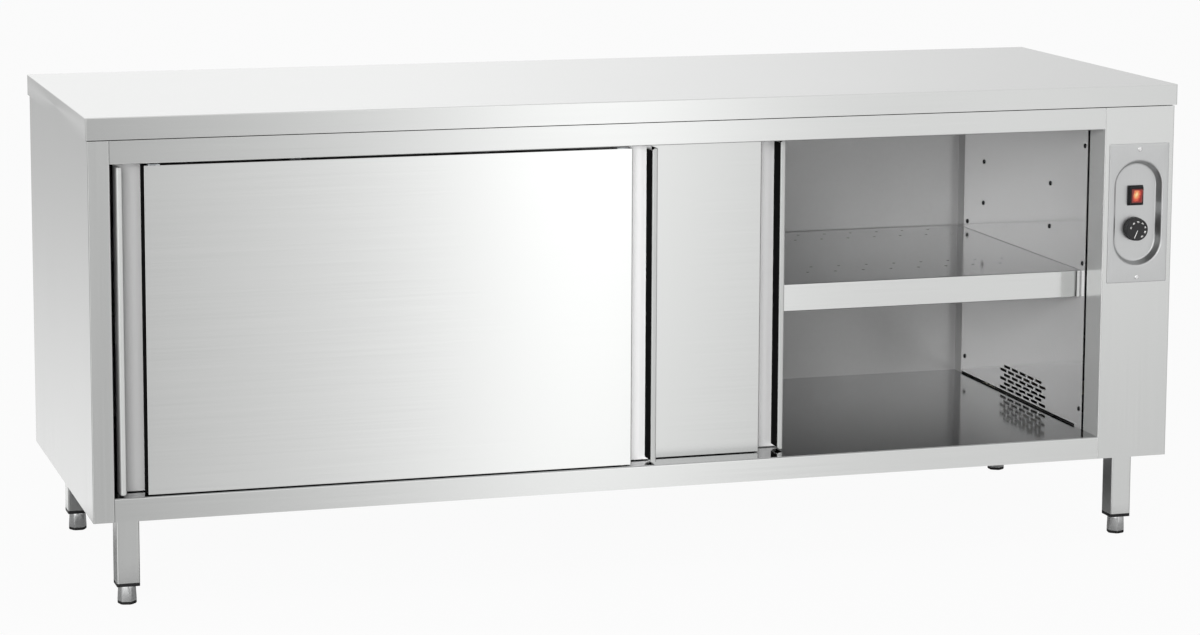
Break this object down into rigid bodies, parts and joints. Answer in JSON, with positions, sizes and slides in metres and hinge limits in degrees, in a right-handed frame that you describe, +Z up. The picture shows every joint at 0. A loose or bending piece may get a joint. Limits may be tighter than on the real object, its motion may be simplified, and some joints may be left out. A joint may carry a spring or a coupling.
{
  "type": "hot cupboard",
  "caption": "Stainless steel hot cupboard with a flat worktop, sliding doors over a heated compartment with a shelf, and a control column on the right.",
  "frame": {"origin": "on the floor under the centre of the worktop", "axes": "+X along the width to the right of someone who faces the doors, +Y to the back, +Z up"},
  "size_m": [2, 0.7, 0.85],
  "materials": {
    "satin_steel": "fine satin grain",
    "inner_steel": "bright rolled",
    "galvanised_steel": "galvanised",
    "bright_fasteners": "bright",
    "foot_steel": "turned",
    "black_plastic": "fine matt",
    "white_nylon": "moulded",
    "stop_rubber": "moulded",
    "red_rocker": "clear, lit from inside",
    "grey_housing": "moulded",
    "heater_tube": "oxidised"
  },
  "bodies": {
    "cabinet": {"worktop": "satin_steel", "worktop_bearers": "galvanised_steel", "side_left": "satin_steel", "side_right": "satin_steel", "back_panel": "satin_steel", "bottom_pan": "galvanised_steel", "ceiling": "galvanised_steel", "top_rail": "satin_steel", "bottom_rail": "satin_steel", "liner_left": "inner_steel", "liner_right": "inner_steel", "liner_back": "inner_steel", "floor_plate": "inner_steel", "floor_bearers": "galvanised_steel", "shelf": "inner_steel", "shelf_runners": "inner_steel", "shelf_beam": "inner_steel", "wall_pegs": "bright_fasteners", "screws": "bright_fasteners", "door_tracks": "galvanised_steel", "track_stops": "stop_rubber", "guide_pins": "white_nylon", "leg_fl": "satin_steel", "leg_fr": "satin_steel", "leg_bl": "satin_steel", "leg_br": "satin_steel", "cap_fl": "black_plastic", "cap_fr": "black_plastic", "cap_bl": "black_plastic", "cap_br": "black_plastic", "control_plate": "satin_steel", "rocker_bezel": "black_plastic", "thermostat": "grey_housing", "air_duct": "galvanised_steel", "fan_frame": "black_plastic", "heating_element": "heater_tube", "terminal_block": "white_nylon", "cable_gland": "black_plastic"},
    "front_door": {"front_panel": "satin_steel", "front_skin": "satin_steel", "front_lips": "satin_steel", "front_hangers": "galvanised_steel"},
    "rear_door": {"rear_panel": "satin_steel", "rear_skin": "satin_steel", "rear_lips": "satin_steel", "rear_hangers": "galvanised_steel"},
    "front_wheel_a": {"front_roller_a": "white_nylon"},
    "front_wheel_b": {"front_roller_b": "white_nylon"},
    "rear_wheel_a": {"rear_roller_a": "white_nylon"},
    "rear_wheel_b": {"rear_roller_b": "white_nylon"},
    "levelling_foot_fl": {"foot_fl": "foot_steel"},
    "levelling_foot_fr": {"foot_fr": "foot_steel"},
    "levelling_foot_bl": {"foot_bl": "foot_steel"},
    "levelling_foot_br": {"foot_br": "foot_steel"},
    "switch_rocker": {"rocker": "red_rocker"},
    "thermostat_knob": {"knob": "black_plastic"},
    "fan_wheel": {"fan_rotor": "black_plastic"}
  },
  "joints": [
    {"name": "front_door_slide", "type": "slide", "parent": "cabinet", "child": "front_door", "axis": [1, 0, 0], "range_m": [0, 0.841]},
    {"name": "rear_door_slide", "type": "slide", "parent": "cabinet", "child": "rear_door", "axis": [1, 0, 0], "range_m": [-0.254, 0.587]},
    {"name": "front_wheel_a_roll", "type": "hinge", "parent": "front_door", "child": "front_wheel_a", "pos_m": [-0.8835, -0.3258, 0.7873], "axis": [0, 1, 0], "continuous": true},
    {"name": "front_wheel_b_roll", "type": "hinge", "parent": "front_door", "child": "front_wheel_b", "pos_m": [-0.0585, -0.3258, 0.7873], "axis": [0, 1, 0], "continuous": true},
    {"name": "rear_wheel_a_roll", "type": "hinge", "parent": "rear_door", "child": "rear_wheel_a", "pos_m": [-0.6295, -0.2838, 0.7873], "axis": [0, 1, 0], "continuous": true},
    {"name": "rear_wheel_b_roll", "type": "hinge", "parent": "rear_door", "child": "rear_wheel_b", "pos_m": [0.1955, -0.2838, 0.7873], "axis": [0, 1, 0], "continuous": true},
    {"name": "foot_fl_screw_out", "type": "slide", "parent": "cabinet", "child": "levelling_foot_fl", "axis": [0, 0, -1], "range_m": [0, 0.02]},
    {"name": "foot_fr_screw_out", "type": "slide", "parent": "cabinet", "child": "levelling_foot_fr", "axis": [0, 0, -1], "range_m": [0, 0.02]},
    {"name": "foot_bl_screw_out", "type": "slide", "parent": "cabinet", "child": "levelling_foot_bl", "axis": [0, 0, -1], "range_m": [0, 0.02]},
    {"name": "foot_br_screw_out", "type": "slide", "parent": "cabinet", "child": "levelling_foot_br", "axis": [0, 0, -1], "range_m": [0, 0.02]},
    {"name": "rocker_tilt", "type": "hinge", "parent": "cabinet", "child": "switch_rocker", "pos_m": [0.928, -0.3355, 0.645], "axis": [1, 0, 0], "range_deg": [-20, 0]},
    {"name": "knob_turn", "type": "hinge", "parent": "cabinet", "child": "thermostat_knob", "pos_m": [0.928, -0.342, 0.583], "axis": [0, 1, 0], "range_deg": [0, 270]},
    {"name": "fan_spin", "type": "hinge", "parent": "cabinet", "child": "fan_wheel", "pos_m": [0.921, -0.00005, 0.308], "axis": [0, 0, 1], "continuous": true}
  ],
  "couplings": [
    {"joint": "front_wheel_a_roll", "follows": "front_door_slide", "rad_per_m": 90.909},
    {"joint": "front_wheel_b_roll", "follows": "front_door_slide", "rad_per_m": 90.909},
    {"joint": "rear_wheel_a_roll", "follows": "rear_door_slide", "rad_per_m": 90.909},
    {"joint": "rear_wheel_b_roll", "follows": "rear_door_slide", "rad_per_m": 90.909}
  ]
}
